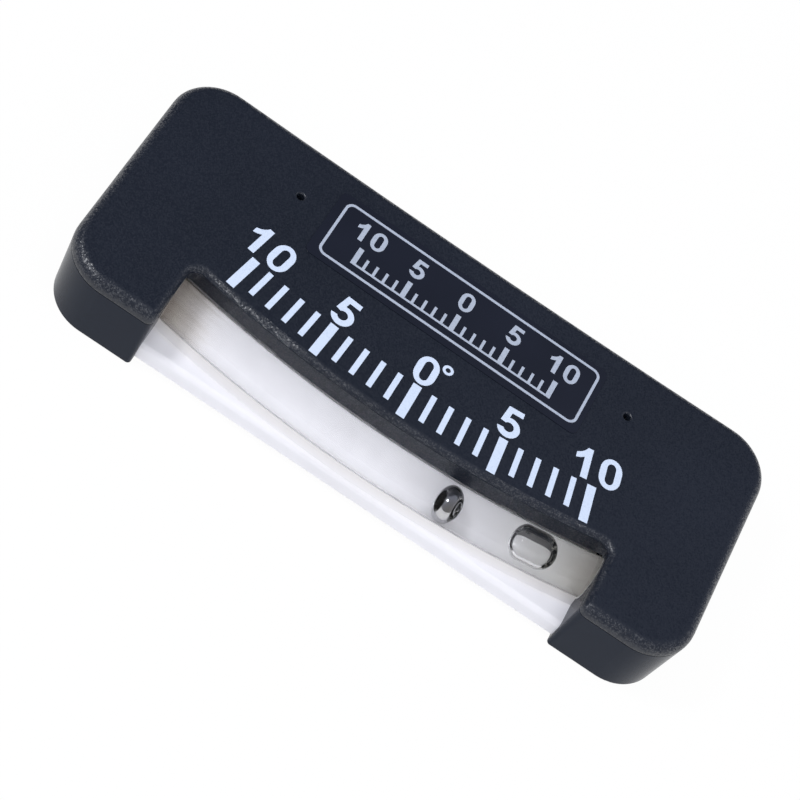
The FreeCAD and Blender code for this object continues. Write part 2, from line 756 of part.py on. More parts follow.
def make_label_numbers():
    solids = []
    for place in (-2, -1, 0, 1, 2):
        for face in number(abs(place) * major_step, label_digit_height,
                           digit_pitch * label_digit_height / digit_height):
            face.translate(at(place * label_number_pitch, label_digit_y))
            solids.append(printed(face, depth + film_thickness))
    return on_label(Part.makeCompound(solids))


def make_label_marks():
    solids = []
    for place in range(-full_scale, full_scale + 1):
        width, size = label_minor_mark if place % major_step else label_major_mark
        face = bar(width, size)
        face.translate(at(place * label_mark_pitch, label_mark_low + size / 2))
        solids.append(face)
    base = bar(2 * full_scale * label_mark_pitch + label_major_mark[0], label_base_line)
    base.translate(at(0, label_mark_low))
    comb = solids[0].multiFuse(solids[1:] + [base]).removeSplitter()
    return on_label(printed(comb.Faces[0], depth + film_thickness))


# ---------------------------------------------------------------- export
def main():
    nodes = {
        "body_shell": make_body(),
        "front_cover": make_cover(),
        "tube_cradle": make_cradle(),
        "curved_tube": make_tube(),
        "end_plug_left": make_plug(-1),
        "end_plug_right": make_plug(1),
        "plug_seal_left": make_seal(-1),
        "plug_seal_right": make_seal(1),
        "tube_sleeve_left": make_sleeve(-1),
        "tube_sleeve_right": make_sleeve(1),
        "damping_fluid": make_fluid(),
        "steel_ball": ball(),
        "air_bubble": bubble(),
        "housing_screws": make_housing_screws(),
        "cradle_screws": make_cradle_screws(),
        "minor_marks": make_minor_marks(),
        "major_marks": make_major_marks(),
        "scale_numerals": make_numerals(),
        "label_film": make_label_film(),
        "label_frame": make_label_frame(),
        "label_numbers": make_label_numbers(),
        "label_marks": make_label_marks(),
    }
    os.makedirs("parts", exist_ok=True)
    for name, shape in nodes.items():
        shape.exportStep(f"parts/{name}.step")
        print(name, len(shape.Solids), "solids, valid:", shape.isValid(), "volume:", round(shape.Volume, 2))


main()
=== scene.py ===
# %% [markdown]
# # A ball-in-tube inclinometer
# A steel ball rolls to the lowest point of a bent tube of fluid, and a printed scale says how far the
# instrument leans. The construction model already holds every piece at its real size, so this script
# only dresses it: it loads the model as a fixed frame, gives each piece the surface it was made with,
# and models anew the few pieces whose look depends on a finer mesh than the construction model has.

# %% Load the frame
import json
import math

import bmesh
import bpy
from mathutils import Matrix, Vector


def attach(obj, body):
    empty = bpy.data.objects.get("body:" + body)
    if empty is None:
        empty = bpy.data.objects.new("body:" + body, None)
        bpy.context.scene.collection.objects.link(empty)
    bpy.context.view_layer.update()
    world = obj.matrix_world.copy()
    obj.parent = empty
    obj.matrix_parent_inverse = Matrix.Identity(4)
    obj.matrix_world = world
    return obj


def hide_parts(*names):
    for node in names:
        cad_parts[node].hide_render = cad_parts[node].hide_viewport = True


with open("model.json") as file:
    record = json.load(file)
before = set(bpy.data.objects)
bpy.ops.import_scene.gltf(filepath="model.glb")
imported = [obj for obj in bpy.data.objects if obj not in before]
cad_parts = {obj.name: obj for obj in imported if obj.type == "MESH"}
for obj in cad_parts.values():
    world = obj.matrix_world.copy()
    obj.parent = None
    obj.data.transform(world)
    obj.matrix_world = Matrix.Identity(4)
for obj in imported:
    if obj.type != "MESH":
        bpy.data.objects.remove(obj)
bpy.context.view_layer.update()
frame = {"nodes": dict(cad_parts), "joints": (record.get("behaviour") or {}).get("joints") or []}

MM = 0.001

# %% [markdown]
# ## Camera
# The instrument lies on its back. The camera stands about 42 cm away over its lower edge, turned so
# that the long side runs down to the right. A lens of about 117 mm on a 36 mm sensor keeps the two
# ends nearly the same size, as a picture of a small product has it. The three axes of the camera are
# the columns of its matrix, so they can be written straight into it.

# %% Camera
CAMERA_PLACE = Vector((-0.024868, -0.265009, 0.324869))
CAMERA_RIGHT = Vector((0.82891, 0.40034, 0.39069))
CAMERA_UP = Vector((-0.55628, 0.66339, 0.50047))
CAMERA_BACK = Vector((-0.05882, -0.63218, 0.77259))
LENS = 116.82
SENSOR = 36.0

camera = bpy.data.objects.new("camera", bpy.data.cameras.new("camera"))
camera.data.lens = LENS
camera.data.sensor_width = SENSOR
turn = Matrix((CAMERA_RIGHT, CAMERA_UP, CAMERA_BACK)).transposed()
camera.matrix_world = Matrix.Translation(CAMERA_PLACE) @ turn.to_4x4()
bpy.context.scene.collection.objects.link(camera)
bpy.context.scene.camera = camera
print("camera stands", round(CAMERA_PLACE.length / MM), "mm from the origin")

# %% [markdown]
# ## Helpers for materials
# Colours are written as the hex values that a picture editor shows. Shaders work with linear light, so
# one function turns them. A second function starts an empty material, and a third adds one node with
# its settings, its links and, on a colour ramp, its stops. Pattern sizes are given in millimetres. A
# noise or cell texture whose scale is 1 has one feature per unit of its coordinates, which are metres
# here, so the scale is one over the feature's size in metres.

# %% Helpers for materials
# most values of a noise texture lie between these two
NOISE_LOW = 0.3
NOISE_HIGH = 0.7
# a Mix node of colours has its two colours at these inputs, and the result at this output
MIX_A = 6
MIX_B = 7
MIX_RESULT = 2


def srgb(code):
    """Turn a hex colour into the four linear values that a shader's colour socket takes."""
    parts = [int(code[i:i + 2], 16) / 255 for i in (1, 3, 5)]
    linear = [p / 12.92 if p <= 0.04045 else ((p + 0.055) / 1.055) ** 2.4 for p in parts]
    return (*linear, 1.0)


def start_material(name):
    """Start a material with an empty node tree."""
    material = bpy.data.materials.new(name)
    material.use_nodes = True
    material.node_tree.nodes.clear()
    return material, material.node_tree


def set_stops(ramp, stops):
    """Give a colour ramp its (position, hex colour) stops."""
    while len(ramp.elements) < len(stops):
        ramp.elements.new(0.5)
    for element, (position, code) in zip(ramp.elements, stops):
        element.position = position
        element.color = srgb(code)


def add_node(tree, kind, inputs=None, stops=None, **settings):
    """Add one node, set its settings and its ramp's stops, and set or link its inputs."""
    node = tree.nodes.new("ShaderNode" + kind)
    for name, value in settings.items():
        setattr(node, name, value)
    if stops:
        set_stops(node.color_ramp, stops)
    for key, value in (inputs or {}).items():
        if isinstance(value, bpy.types.NodeSocket):
            tree.links.new(value, node.inputs[key])
        else:
            node.inputs[key].default_value = value
    return node


def per_mm(feature):
    """Texture scale that gives features of this many millimetres."""
    return 1 / (feature * MM)


def over_noise(dark, light):
    """Ramp stops that spread two colours over the values that a noise texture mostly has."""
    return [(NOISE_LOW, dark), (NOISE_HIGH, light)]


print("black ABS, #1e2430, is linear", [round(c, 4) for c in srgb("#1e2430")])

# %% [markdown]
# ## Floor
# A small product is often laid on white paper that is lit until it is plain white. Light Path tells
# which kind of ray asks. The camera, a mirror and glass see an even white with a little of the paper
# in it, so a trace of the object's soft shadow stays. Every other ray sees plain paper, so the object
# gets no more light than it should.

# %% Floor
FLOOR_HALF = 1.5
# share of the even white in what the camera sees
PAPER_GLOW = 0.97

floor_mesh = bmesh.new()
bmesh.ops.create_grid(floor_mesh, x_segments=1, y_segments=1, size=FLOOR_HALF)
floor_data = bpy.data.meshes.new("floor")
floor_mesh.to_mesh(floor_data)
floor_mesh.free()
floor = bpy.data.objects.new("floor", floor_data)
bpy.context.scene.collection.objects.link(floor)

paper, tree = start_material("white_studio_paper")
path = add_node(tree, "LightPath").outputs
seen = add_node(tree, "Math", {0: path["Is Camera Ray"], 1: path["Is Glossy Ray"]},
                operation="MAXIMUM").outputs[0]
seen = add_node(tree, "Math", {0: seen, 1: path["Is Transmission Ray"]},
                operation="MAXIMUM").outputs[0]
share = add_node(tree, "Math", {0: seen, 1: PAPER_GLOW}, operation="MULTIPLY").outputs[0]
lit = add_node(tree, "BsdfDiffuse", {"Color": srgb("#ffffff")}).outputs[0]
even = add_node(tree, "Emission", {"Color": srgb("#ffffff"), "Strength": 1.0}).outputs[0]
mixed = add_node(tree, "MixShader", {0: share, 1: lit, 2: even}).outputs[0]
add_node(tree, "OutputMaterial", {"Surface": mixed})
floor.data.materials.append(paper)
print("floor is", 2 * FLOOR_HALF, "m wide")

# %% [markdown]
# ## Light
# A softbox high on the left makes the glints: it stands off the ends of the tube, where the glass
# can't mirror it, so the tube stays free of streaks, while the grain on every rounded edge glitters.
# Three big soft lamps, above, in front and on the right, light the rest evenly. They stand for light
# that is bounced off walls and has no edge of its own, so neither mirrors nor glass show them. The
# world is a plain room: dark behind on the left, soon an even grey, and a little warmer towards the
# front and the right. The flat face mirrors the dark side and stays dark, and the rounded edges mirror
# the passage from one side to the other.

# %% Light
DARK_SIDE = (-0.6, 1.0, 0.0)
# how far a direction goes along DARK_SIDE where the tones start and where they end
TONES_START = 0.75
TONES_END = -1.1
ROOM_TONES = [(0.0, "#464750"), (0.16, "#9599a6"), (1.0, "#8c8a89")]
ROOM_GLOW = 0.8
LAMP_TINT = (0.95, 0.965, 1.0)
# name, place, width and height (m), power (W), whether mirrors and glass show it
LAMPS = [
    ("left_softbox", (-0.55, -0.20, 0.76), 0.19, 0.19, 3.4, True),
    ("top_bounce", (0.0, -0.10, 0.95), 0.70, 0.50, 3.6, False),
    ("front_bounce", (0.15, -0.78, 0.66), 0.80, 0.60, 1.7, False),
    ("right_bounce", (0.78, -0.34, 0.42), 0.50, 0.50, 2.1, False),
]

world = bpy.data.worlds.new("room")
world.use_nodes = True
world.node_tree.nodes.clear()
tree = world.node_tree
towards = add_node(tree, "TexCoord").outputs["Generated"]
back = add_node(tree, "VectorMath", {0: towards, 1: DARK_SIDE},
                operation="DOT_PRODUCT").outputs["Value"]
blend = add_node(tree, "MapRange", {"Value": back, "From Min": TONES_START,
                                    "From Max": TONES_END}).outputs[0]
room = add_node(tree, "ValToRGB", {"Fac": blend}, stops=ROOM_TONES).outputs["Color"]
shine = add_node(tree, "Background", {"Color": room, "Strength": ROOM_GLOW}).outputs[0]
add_node(tree, "OutputWorld", {"Surface": shine})
bpy.context.scene.world = world
for name, place, wide, tall, power, shown in LAMPS:
    lamp = bpy.data.lights.new(name, "AREA")
    lamp.shape = "RECTANGLE"
    lamp.size, lamp.size_y = wide, tall
    lamp.energy = power
    lamp.color = LAMP_TINT
    holder = bpy.data.objects.new(name, lamp)
    holder.location = place
    holder.visible_glossy = shown
    holder.visible_transmission = shown
    holder.rotation_euler = (-Vector(place)).to_track_quat("-Z", "Y").to_euler()
    bpy.context.scene.collection.objects.link(holder)
bpy.context.scene.view_settings.view_transform = "Standard"
print(len(LAMPS), "lamps in a room of", len(ROOM_TONES), "tones")

# %% [markdown]
# ## Where the tube lies
# The tube's centre line is an arc. Its centre is also the axis that the ball rolls about, so the frame
# says where that is. Two materials follow the arc: that of the tube, and that of the cradle under it.
# One function tells a shader how far a point is from the axis, how high it is over the centre line,
# and how far it is to the right.

# %% Where the tube lies
ARC_CENTRE = Vector(next(j["pos_m"] for j in frame["joints"] if j["name"] == "ball_roll"))
TUBE_ARC = 0.1949
TUBE_RADIUS = 3.7 * MM
BORE_RADIUS = 2.5 * MM


def along_tube(tree, place):
    """Distance of the shaded point from the arc's axis, height over the tube's centre line, and X."""
    spoke = add_node(tree, "VectorMath", {0: place, 1: ARC_CENTRE}, operation="SUBTRACT").outputs[0]
    parts = add_node(tree, "SeparateXYZ", {"Vector": spoke}).outputs
    flat = add_node(tree, "CombineXYZ", {"X": parts["X"], "Y": parts["Y"]}).outputs[0]
    reach = add_node(tree, "VectorMath", {0: flat}, operation="LENGTH").outputs["Value"]
    return reach, parts["Z"], parts["X"]


print("the tube is bent to a radius of", round(TUBE_ARC / MM, 1), "mm about", ARC_CENTRE[:])

# %% [markdown]
# ## Grained ABS of the cover
# The cover is ABS moulded in a tool whose face was spark-eroded. The sparks leave small craters side
# by side, so the plastic comes out with a fine even grain: matt from afar, with glints where a facet
# catches a lamp. A cell texture stands for the facets: the random colour of each cell tips the normal
# its own way, so a highlight on a rounded edge breaks up into specks, as it does on the real grain.
# Real grain of this class is about 0.1 mm wide, too fine to show, so a facet is drawn 0.2 mm wide.
# On the rounded edges, pale specks are painted into the colour of some cells: painted glints of the
# grain catching the light, which the flats don't show. The way the surface faces tells the shader
# where a rounded edge is.

# %% Grained ABS
ABS_INDEX = 1.54
GRAIN_WIDTH = 0.2
# against a normal of length 1, so a facet tips by 17 degrees at most
GRAIN_TILT = 0.35
# width of a painted glint speck
GLINT_SPECK_WIDTH = 0.17
# share of the cells that get no painted glint speck
UNLIT_SPECK_SHARE = 0.55
# how much a face looks up: black on walls and flats, white on the rounded edge between them
EDGE_FACINGS = [(0.2, "#000000"), (0.5, "#ffffff"), (0.93, "#ffffff"), (0.99, "#000000")]


def grained_normal(tree, place):
    """Normal that each grain facet tips its own way."""
    facets = add_node(tree, "TexVoronoi", {"Vector": place, "Scale": per_mm(GRAIN_WIDTH)},
                      feature="F1").outputs["Color"]
    tip = add_node(tree, "VectorMath", {0: facets, 1: (0.5, 0.5, 0.5)},
                   operation="SUBTRACT").outputs[0]
    tip = add_node(tree, "VectorMath", {0: tip, "Scale": GRAIN_TILT}, operation="SCALE").outputs[0]
    flat = add_node(tree, "NewGeometry").outputs["Normal"]
    tipped = add_node(tree, "VectorMath", {0: flat, 1: tip}, operation="ADD").outputs[0]
    return add_node(tree, "VectorMath", {0: tipped}, operation="NORMALIZE").outputs[0]


def painted_glint_specks(tree, coords):
    """Mask of the painted glint specks: 1 on some cells along a rounded edge, 0 on flats and walls."""
    upright = add_node(tree, "SeparateXYZ", {"Vector": coords["Normal"]}).outputs["Z"]
    rounded = add_node(tree, "ValToRGB", {"Fac": upright}, stops=EDGE_FACINGS).outputs["Color"]
    cells = add_node(tree, "TexVoronoi", {"Vector": coords["Object"], "Scale": per_mm(GLINT_SPECK_WIDTH)},
                     feature="F1").outputs["Color"]
    luck = add_node(tree, "SeparateXYZ", {"Vector": cells}).outputs["X"]
    glint_speck = add_node(tree, "MapRange", {"Value": luck, "From Min": UNLIT_SPECK_SHARE,
                                        "From Max": 1.0}).outputs[0]
    return add_node(tree, "Math", {0: rounded, 1: glint_speck}, operation="MULTIPLY").outputs[0]


def grained_abs():
    """Dark plastic with grain, painted glint specks on its rounded edges and faint clouds of colour.
    """
    material, tree = start_material("spark_eroded_abs")
    coords = add_node(tree, "TexCoord").outputs
    place = coords["Object"]
    clouds = add_node(tree, "TexNoise", {"Vector": place, "Scale": per_mm(26),
                                         "Detail": 3.0}).outputs["Fac"]
    tint = add_node(tree, "ValToRGB", {"Fac": clouds},
                    stops=over_noise("#1b202a", "#1f242f")).outputs["Color"]
    # mix in the pale colour of the painted glint specks
    tint = add_node(tree, "Mix", {"Factor": painted_glint_specks(tree, coords), MIX_A: tint,
                                  MIX_B: srgb("#4a4c51")}, data_type="RGBA").outputs[MIX_RESULT]
    shine = add_node(tree, "MapRange", {"Value": clouds, "To Min": 0.3, "To Max": 0.35}).outputs[0]
    grain = grained_normal(tree, place)
    shader = add_node(tree, "BsdfPrincipled", {"Base Color": tint, "Roughness": shine,
                                               "IOR": ABS_INDEX, "Specular IOR Level": 0.5,
                                               "Normal": grain}).outputs[0]
    add_node(tree, "OutputMaterial", {"Surface": shader})
    return material


COVER_ABS = grained_abs()
print("made", COVER_ABS.name)

# %% [markdown]
# ## Satin ABS of the body
# The body comes from the same black ABS, but its tool was only stoned, not eroded. It is smoother than
# the cover and shows soft gradients of light round its corners, with a faint unevenness left by the
# stone.

# %% Satin ABS
def satin_abs():
    """Dark plastic with a fine haze on its surface and faint clouds of colour."""
    material, tree = start_material("stoned_tool_abs")
    place = add_node(tree, "TexCoord").outputs["Object"]
    haze = add_node(tree, "TexNoise", {"Vector": place, "Scale": per_mm(0.5),
                                       "Detail": 3.0}).outputs["Fac"]
    clouds = add_node(tree, "TexNoise", {"Vector": place, "Scale": per_mm(14),
                                         "Detail": 2.0}).outputs["Fac"]
    tint = add_node(tree, "ValToRGB", {"Fac": clouds},
                    stops=over_noise("#1e2430", "#222833")).outputs["Color"]
    shine = add_node(tree, "MapRange", {"Value": clouds, "To Min": 0.2, "To Max": 0.26}).outputs[0]
    bump = add_node(tree, "Bump", {"Height": haze, "Strength": 0.35,
                                   "Distance": 0.02 * MM}).outputs[0]
    shader = add_node(tree, "BsdfPrincipled", {"Base Color": tint, "Roughness": shine,
                                               "IOR": ABS_INDEX, "Specular IOR Level": 0.08,
                                               "Normal": bump}).outputs[0]
    add_node(tree, "OutputMaterial", {"Surface": shader})
    return material


BODY_ABS = satin_abs()
print("made", BODY_ABS.name)

# %% [markdown]
# ## White ABS of the cradle
# The cradle is white ABS from a polished tool, so the reader sees the ball and the marks against a
# bright ground. White ABS holds a trace of blue, put in against yellowing, and is never quite even.
# The front lip of the tube's bed is painted darker and warmer, sharply beside the tube and fading
# towards the lip's foot: painted shade, where the tube shades the lip.

# %% White ABS
LIP_CREST = TUBE_ARC + 2.9 * MM
LIP_FOOT = TUBE_ARC + 4.6 * MM
# painted shade of the lip: darkest and warmest beside the tube, fading to white at its foot
LIP_SHADE_TINTS = [(0.0, "#ffffff"), (0.01, "#efece6"), (0.5, "#f9f8f6"), (1.0, "#ffffff")]


def painted_lip_shade(tree, place):
    """Painted shade on the bed's front lip: darkest right beside the tube, fading to the lip's foot.
    """
    reach = along_tube(tree, place)[0]
    share = add_node(tree, "MapRange", {"Value": reach, "From Min": LIP_CREST,
                                        "From Max": LIP_FOOT}).outputs[0]
    return add_node(tree, "ValToRGB", {"Fac": share}, stops=LIP_SHADE_TINTS).outputs["Color"]


def white_abs():
    """White plastic with a soft ripple, and the painted shade of the lip multiplied into its colour.
    """
    material, tree = start_material("polished_white_abs")
    place = add_node(tree, "TexCoord").outputs["Object"]
    clouds = add_node(tree, "TexNoise", {"Vector": place, "Scale": per_mm(9),
                                         "Detail": 3.0}).outputs["Fac"]
    tint = add_node(tree, "ValToRGB", {"Fac": clouds},
                    stops=over_noise("#f1f0f4", "#f4f3f7")).outputs["Color"]
    # multiply the painted shade of the lip into the white
    tint = add_node(tree, "Mix", {"Factor": 1.0, MIX_A: tint, MIX_B: painted_lip_shade(tree, place)},
                    data_type="RGBA", blend_type="MULTIPLY").outputs[MIX_RESULT]
    ripple = add_node(tree, "TexNoise", {"Vector": place, "Scale": per_mm(1.6),
                                         "Detail": 2.0}).outputs["Fac"]
    bump = add_node(tree, "Bump", {"Height": ripple, "Strength": 0.25,
                                   "Distance": 0.02 * MM}).outputs[0]
    shader = add_node(tree, "BsdfPrincipled", {"Base Color": tint, "Roughness": 0.3,
                                               "IOR": ABS_INDEX, "Normal": bump}).outputs[0]
    add_node(tree, "OutputMaterial", {"Surface": shader})
    return material


CRADLE_ABS = white_abs()
print("made", CRADLE_ABS.name)

# %% [markdown]
# ## Printing inks
# The scale is pad-printed on the grained face. The ink follows the grain, a little smoothed, and is
# very slightly uneven where it bridges the craters. The label is screen-printed on film in a greyer
# ink. Both are one recipe with other colours.

# %% Printing inks
def printing_ink(name, thin, full, grain_depth):
    """Ink from its thin to its full colour, over grain of this depth in millimetres."""
    material, tree = start_material(name)
    place = add_node(tree, "TexCoord").outputs["Object"]
    craters = add_node(tree, "TexNoise", {"Vector": place, "Scale": per_mm(0.36), "Detail": 2.0,
                                          "Roughness": 0.6}).outputs["Fac"]
    tint = add_node(tree, "ValToRGB", {"Fac": craters},
                    stops=[(0.3, thin), (0.5, full)]).outputs["Color"]
    bump = add_node(tree, "Bump", {"Height": craters, "Strength": 0.5,
                                   "Distance": grain_depth * MM}).outputs[0]
    shader = add_node(tree, "BsdfPrincipled", {"Base Color": tint, "Roughness": 0.5, "IOR": 1.5,
                                               "Normal": bump}).outputs[0]
    add_node(tree, "OutputMaterial", {"Surface": shader})
    return material


SCALE_INK = printing_ink("pad_printed_ink", "#d1dff5", "#dae7fc", grain_depth=0.03)
LABEL_INK = printing_ink("screen_printed_ink", "#a9b2c3", "#b6bfcf", grain_depth=0.005)
print("made", SCALE_INK.name, "and", LABEL_INK.name)

# %% [markdown]
# ## Label film
# The label is dark printed polyester film under a clear gloss layer. It lies on a grained face, so its
# surface has a faint orange peel, and it shows the room more clearly than the plastic round it.

# %% Label film
def gloss_film():
    """Dark gloss with a faint orange peel and faint clouds of colour."""
    material, tree = start_material("gloss_polyester_film")
    place = add_node(tree, "TexCoord").outputs["Object"]
    peel = add_node(tree, "TexNoise", {"Vector": place, "Scale": per_mm(0.9),
                                       "Detail": 2.0}).outputs["Fac"]
    clouds = add_node(tree, "TexNoise", {"Vector": place, "Scale": per_mm(12),
                                         "Detail": 2.0}).outputs["Fac"]
    tint = add_node(tree, "ValToRGB", {"Fac": clouds},
                    stops=over_noise("#171b27", "#1b1f2c")).outputs["Color"]
    bump = add_node(tree, "Bump", {"Height": peel, "Strength": 0.3,
                                   "Distance": 0.01 * MM}).outputs[0]
    shader = add_node(tree, "BsdfPrincipled", {"Base Color": tint, "Roughness": 0.22, "IOR": 1.57,
                                               "Normal": bump}).outputs[0]
    add_node(tree, "OutputMaterial", {"Surface": shader})
    return material


FILM = gloss_film()
print("made", FILM.name)

# %% [markdown]
# ## Steel, zinc, nylon and rubber
# The ball is bearing steel, ground and lapped until it mirrors the tube round it. The screws are steel
# with a thin coat of zinc, duller and faintly blotched. Both are metals, whose roughness varies a
# little from place to place. The plugs are black nylon, the sealing rings are black nitrile rubber,
# and the sleeves that hold the tube are white silicone. These three are one recipe with other colours.

# %% Steel, zinc, nylon and rubber
def blotched_metal(name, dark, light, feature, detail, smooth, rough):
    """Metal whose colour and roughness vary together, in blotches of this many millimetres."""
    material, tree = start_material(name)
    place = add_node(tree, "TexCoord").outputs["Object"]
    blotch = add_node(tree, "TexNoise", {"Vector": place, "Scale": per_mm(feature),
                                         "Detail": detail}).outputs["Fac"]
    shine = add_node(tree, "MapRange", {"Value": blotch, "To Min": smooth, "To Max": rough}).outputs[0]
    tint = add_node(tree, "ValToRGB", {"Fac": blotch},
                    stops=over_noise(dark, light)).outputs["Color"]
    shader = add_node(tree, "BsdfPrincipled", {"Base Color": tint, "Metallic": 1.0,
                                               "Roughness": shine}).outputs[0]
    add_node(tree, "OutputMaterial", {"Surface": shader})
    return material


def moulded(name, dark, light, feature, roughness, index):
    """Moulded material with soft mottling of this many millimetres."""
    material, tree = start_material(name)
    place = add_node(tree, "TexCoord").outputs["Object"]
    mottle = add_node(tree, "TexNoise", {"Vector": place, "Scale": per_mm(feature),
                                         "Detail": 3.0}).outputs["Fac"]
    tint = add_node(tree, "ValToRGB", {"Fac": mottle},
                    stops=over_noise(dark, light)).outputs["Color"]
    bump = add_node(tree, "Bump", {"Height": mottle, "Strength": 0.3,
                                   "Distance": 0.03 * MM}).outputs[0]
    shader = add_node(tree, "BsdfPrincipled", {"Base Color": tint, "Roughness": roughness,
                                               "IOR": index, "Normal": bump}).outputs[0]
    add_node(tree, "OutputMaterial", {"Surface": shader})
    return material


BALL_STEEL = blotched_metal("lapped_bearing_steel", "#c9c9cc", "#d2d2d5",
                            feature=0.8, detail=3.0, smooth=0.05, rough=0.1)
ZINC = blotched_metal("zinc_plated_steel", "#9fa3a6", "#bcbfc0",
                      feature=0.7, detail=4.0, smooth=0.28, rough=0.45)
NYLON = moulded("black_nylon", "#1b1b1d", "#222224", feature=1.2, roughness=0.4, index=1.53)
RUBBER = moulded("nitrile_rubber", "#18181a", "#202022", feature=0.6, roughness=0.6, index=1.52)
SILICONE = moulded("white_silicone_rubber", "#c9c9c8", "#d0d0cf",
                   feature=0.8, roughness=0.5, index=1.41)
print("made", [m.name for m in (BALL_STEEL, ZINC, NYLON, RUBBER, SILICONE)])

# %% [markdown]
# ## Glass, fluid and air
# A shader's index is that of the stuff inside over that of the stuff outside. So the tube, in air, has
# the real 1.49 of its plastic, the fluid inside it has 1.41 over 1.49, and the air bubble has 1 over
# 1.41. The fluid wets the bore, so light meets one surface there and not two: the bore's own wall is
# simply clear, and the fluid's surface does the bending. Lamps could not find their way through three
# bent surfaces, so for shadow rays and for diffuse rays, which carry soft light on, each of them is
# simply clear too. The tube's colour is painted darker and warmer towards both ends, and more so on
# the
# right: painted shade, where the feet and the cover shade it. The fluid and the air are clouded very
# faintly: nothing is perfectly clear.

# %% Glass, fluid and air
TUBE_INDEX = 1.49
FLUID_INDEX = 1.41
# the painted shade runs from this far left of the zero mark to this far right of it, and along each
# streak it reaches in further or less far by up to the second value
TUBE_SHADE_REACH = 40 * MM
TUBE_SHADE_WANDER = 2 * MM
# painted shade along the tube: darker and warmer at both ends, clear in the middle, darker slowly to
# the right
TUBE_SHADE_TINTS = [(0.0, "#efedea"), (0.11, "#fefefe"), (0.52, "#fefefe"), (0.62, "#fdfdfd"),
          (0.76, "#fafafa"), (0.92, "#f7f7f6"), (1.0, "#f2f1ef")]


def painted_tube_shade(tree, place):
    """Colour along the tube: clear in the middle, with painted shade darker and warmer towards the
    ends.
    """
    reach, height, x = along_tube(tree, place)
    around = add_node(tree, "CombineXYZ", {"X": reach, "Y": height}).outputs[0]
    streaks = add_node(tree, "TexNoise", {"Vector": around, "Scale": per_mm(0.9),
                                          "Detail": 2.0}).outputs["Fac"]
    # the streaks shift where the painted shade begins
    drawn = add_node(tree, "MapRange", {"Value": streaks, "From Min": NOISE_LOW,
                                        "From Max": NOISE_HIGH, "To Min": -TUBE_SHADE_WANDER,
                                        "To Max": TUBE_SHADE_WANDER}).outputs[0]
    along = add_node(tree, "Math", {0: x, 1: drawn}, operation="ADD").outputs[0]
    share = add_node(tree, "MapRange", {"Value": along, "From Min": -TUBE_SHADE_REACH,
                                        "From Max": TUBE_SHADE_REACH}).outputs[0]
    return add_node(tree, "ValToRGB", {"Fac": share}, stops=TUBE_SHADE_TINTS).outputs["Color"]


def wetted_bore(tree, place):
    """Mask: 1 on the wall of the bore, and 0 on the outside of the tube."""
    reach, height = along_tube(tree, place)[:2]
    outwards = add_node(tree, "Math", {0: reach, 1: TUBE_ARC}, operation="SUBTRACT").outputs[0]
    across = add_node(tree, "CombineXYZ", {"X": outwards, "Y": height}).outputs[0]
    distance = add_node(tree, "VectorMath", {0: across}, operation="LENGTH").outputs["Value"]
    return add_node(tree, "Math", {0: distance, 1: (BORE_RADIUS + TUBE_RADIUS) / 2},
                    operation="LESS_THAN").outputs[0]


def clear_stuff(name, index, is_tube=False):
    """Glass-like material that the light of lamps and soft light pass straight through."""
    material, tree = start_material(name)
    place = add_node(tree, "TexCoord").outputs["Object"]
    path = add_node(tree, "LightPath").outputs
    unbent = add_node(tree, "Math", {0: path["Is Shadow Ray"], 1: path["Is Diffuse Ray"]},
                      operation="MAXIMUM").outputs[0]
    if is_tube:
        # the tube's colour carries the painted shade of its ends
        tint = painted_tube_shade(tree, place)
        unbent = add_node(tree, "Math", {0: unbent, 1: wetted_bore(tree, place)},
                          operation="MAXIMUM").outputs[0]
    else:
        clouds = add_node(tree, "TexNoise", {"Vector": place, "Scale": per_mm(2.5)}).outputs["Fac"]
        tint = add_node(tree, "ValToRGB", {"Fac": clouds},
                        stops=over_noise("#fdfdfd", "#ffffff")).outputs["Color"]
    bending = add_node(tree, "BsdfGlass", {"Color": tint, "Roughness": 0.0, "IOR": index}).outputs[0]
    straight = add_node(tree, "BsdfTransparent", {"Color": tint}).outputs[0]
    shader = add_node(tree, "MixShader", {0: unbent, 1: bending, 2: straight}).outputs[0]
    add_node(tree, "OutputMaterial", {"Surface": shader})
    return material


TUBE_CLEAR = clear_stuff("clear_drawn_tube", TUBE_INDEX, is_tube=True)
FLUID_CLEAR = clear_stuff("clear_damping_fluid", FLUID_INDEX / TUBE_INDEX)
AIR = clear_stuff("air_in_fluid", 1 / FLUID_INDEX)
print("made", [m.name for m in (TUBE_CLEAR, FLUID_CLEAR, AIR)])

# %% [markdown]
# ## Finishes on the pieces that stay as constructed
# These pieces have their right shape already, so they only get their material. It goes into the slot
# that the piece came with, which changes nothing about its mesh.

# %% Finishes
FINISHES = {
    "body_shell": BODY_ABS,
    "front_cover": COVER_ABS,
    "tube_cradle": CRADLE_ABS,
    "end_plug_left": NYLON,
    "end_plug_right": NYLON,
    "plug_seal_left": RUBBER,
    "plug_seal_right": RUBBER,
    "tube_sleeve_left": SILICONE,
    "tube_sleeve_right": SILICONE,
    "housing_screws": ZINC,
    "cradle_screws": ZINC,
    "minor_marks": SCALE_INK,
    "major_marks": SCALE_INK,
    "scale_numerals": SCALE_INK,
    "label_film": FILM,
    "label_frame": LABEL_INK,
    "label_numbers": LABEL_INK,
    "label_marks": LABEL_INK,
}
for node_name, finish in FINISHES.items():
    for material_slot in frame["nodes"][node_name].material_slots:
        material_slot.material = finish
print(len(FINISHES), "pieces finished")

# %% [markdown]
# ## New pieces
# A new piece is a bmesh that operators shape, turned into one object at the origin. It rides on the
# body of the node that it stands for, takes that node's place, and has one material slot of its own. A
# ray of light passes only so many clear surfaces before it is given up, and then it leaves a dark
# patch, so the clear pieces inside the tube are hidden from the rays that would pass them unbent.

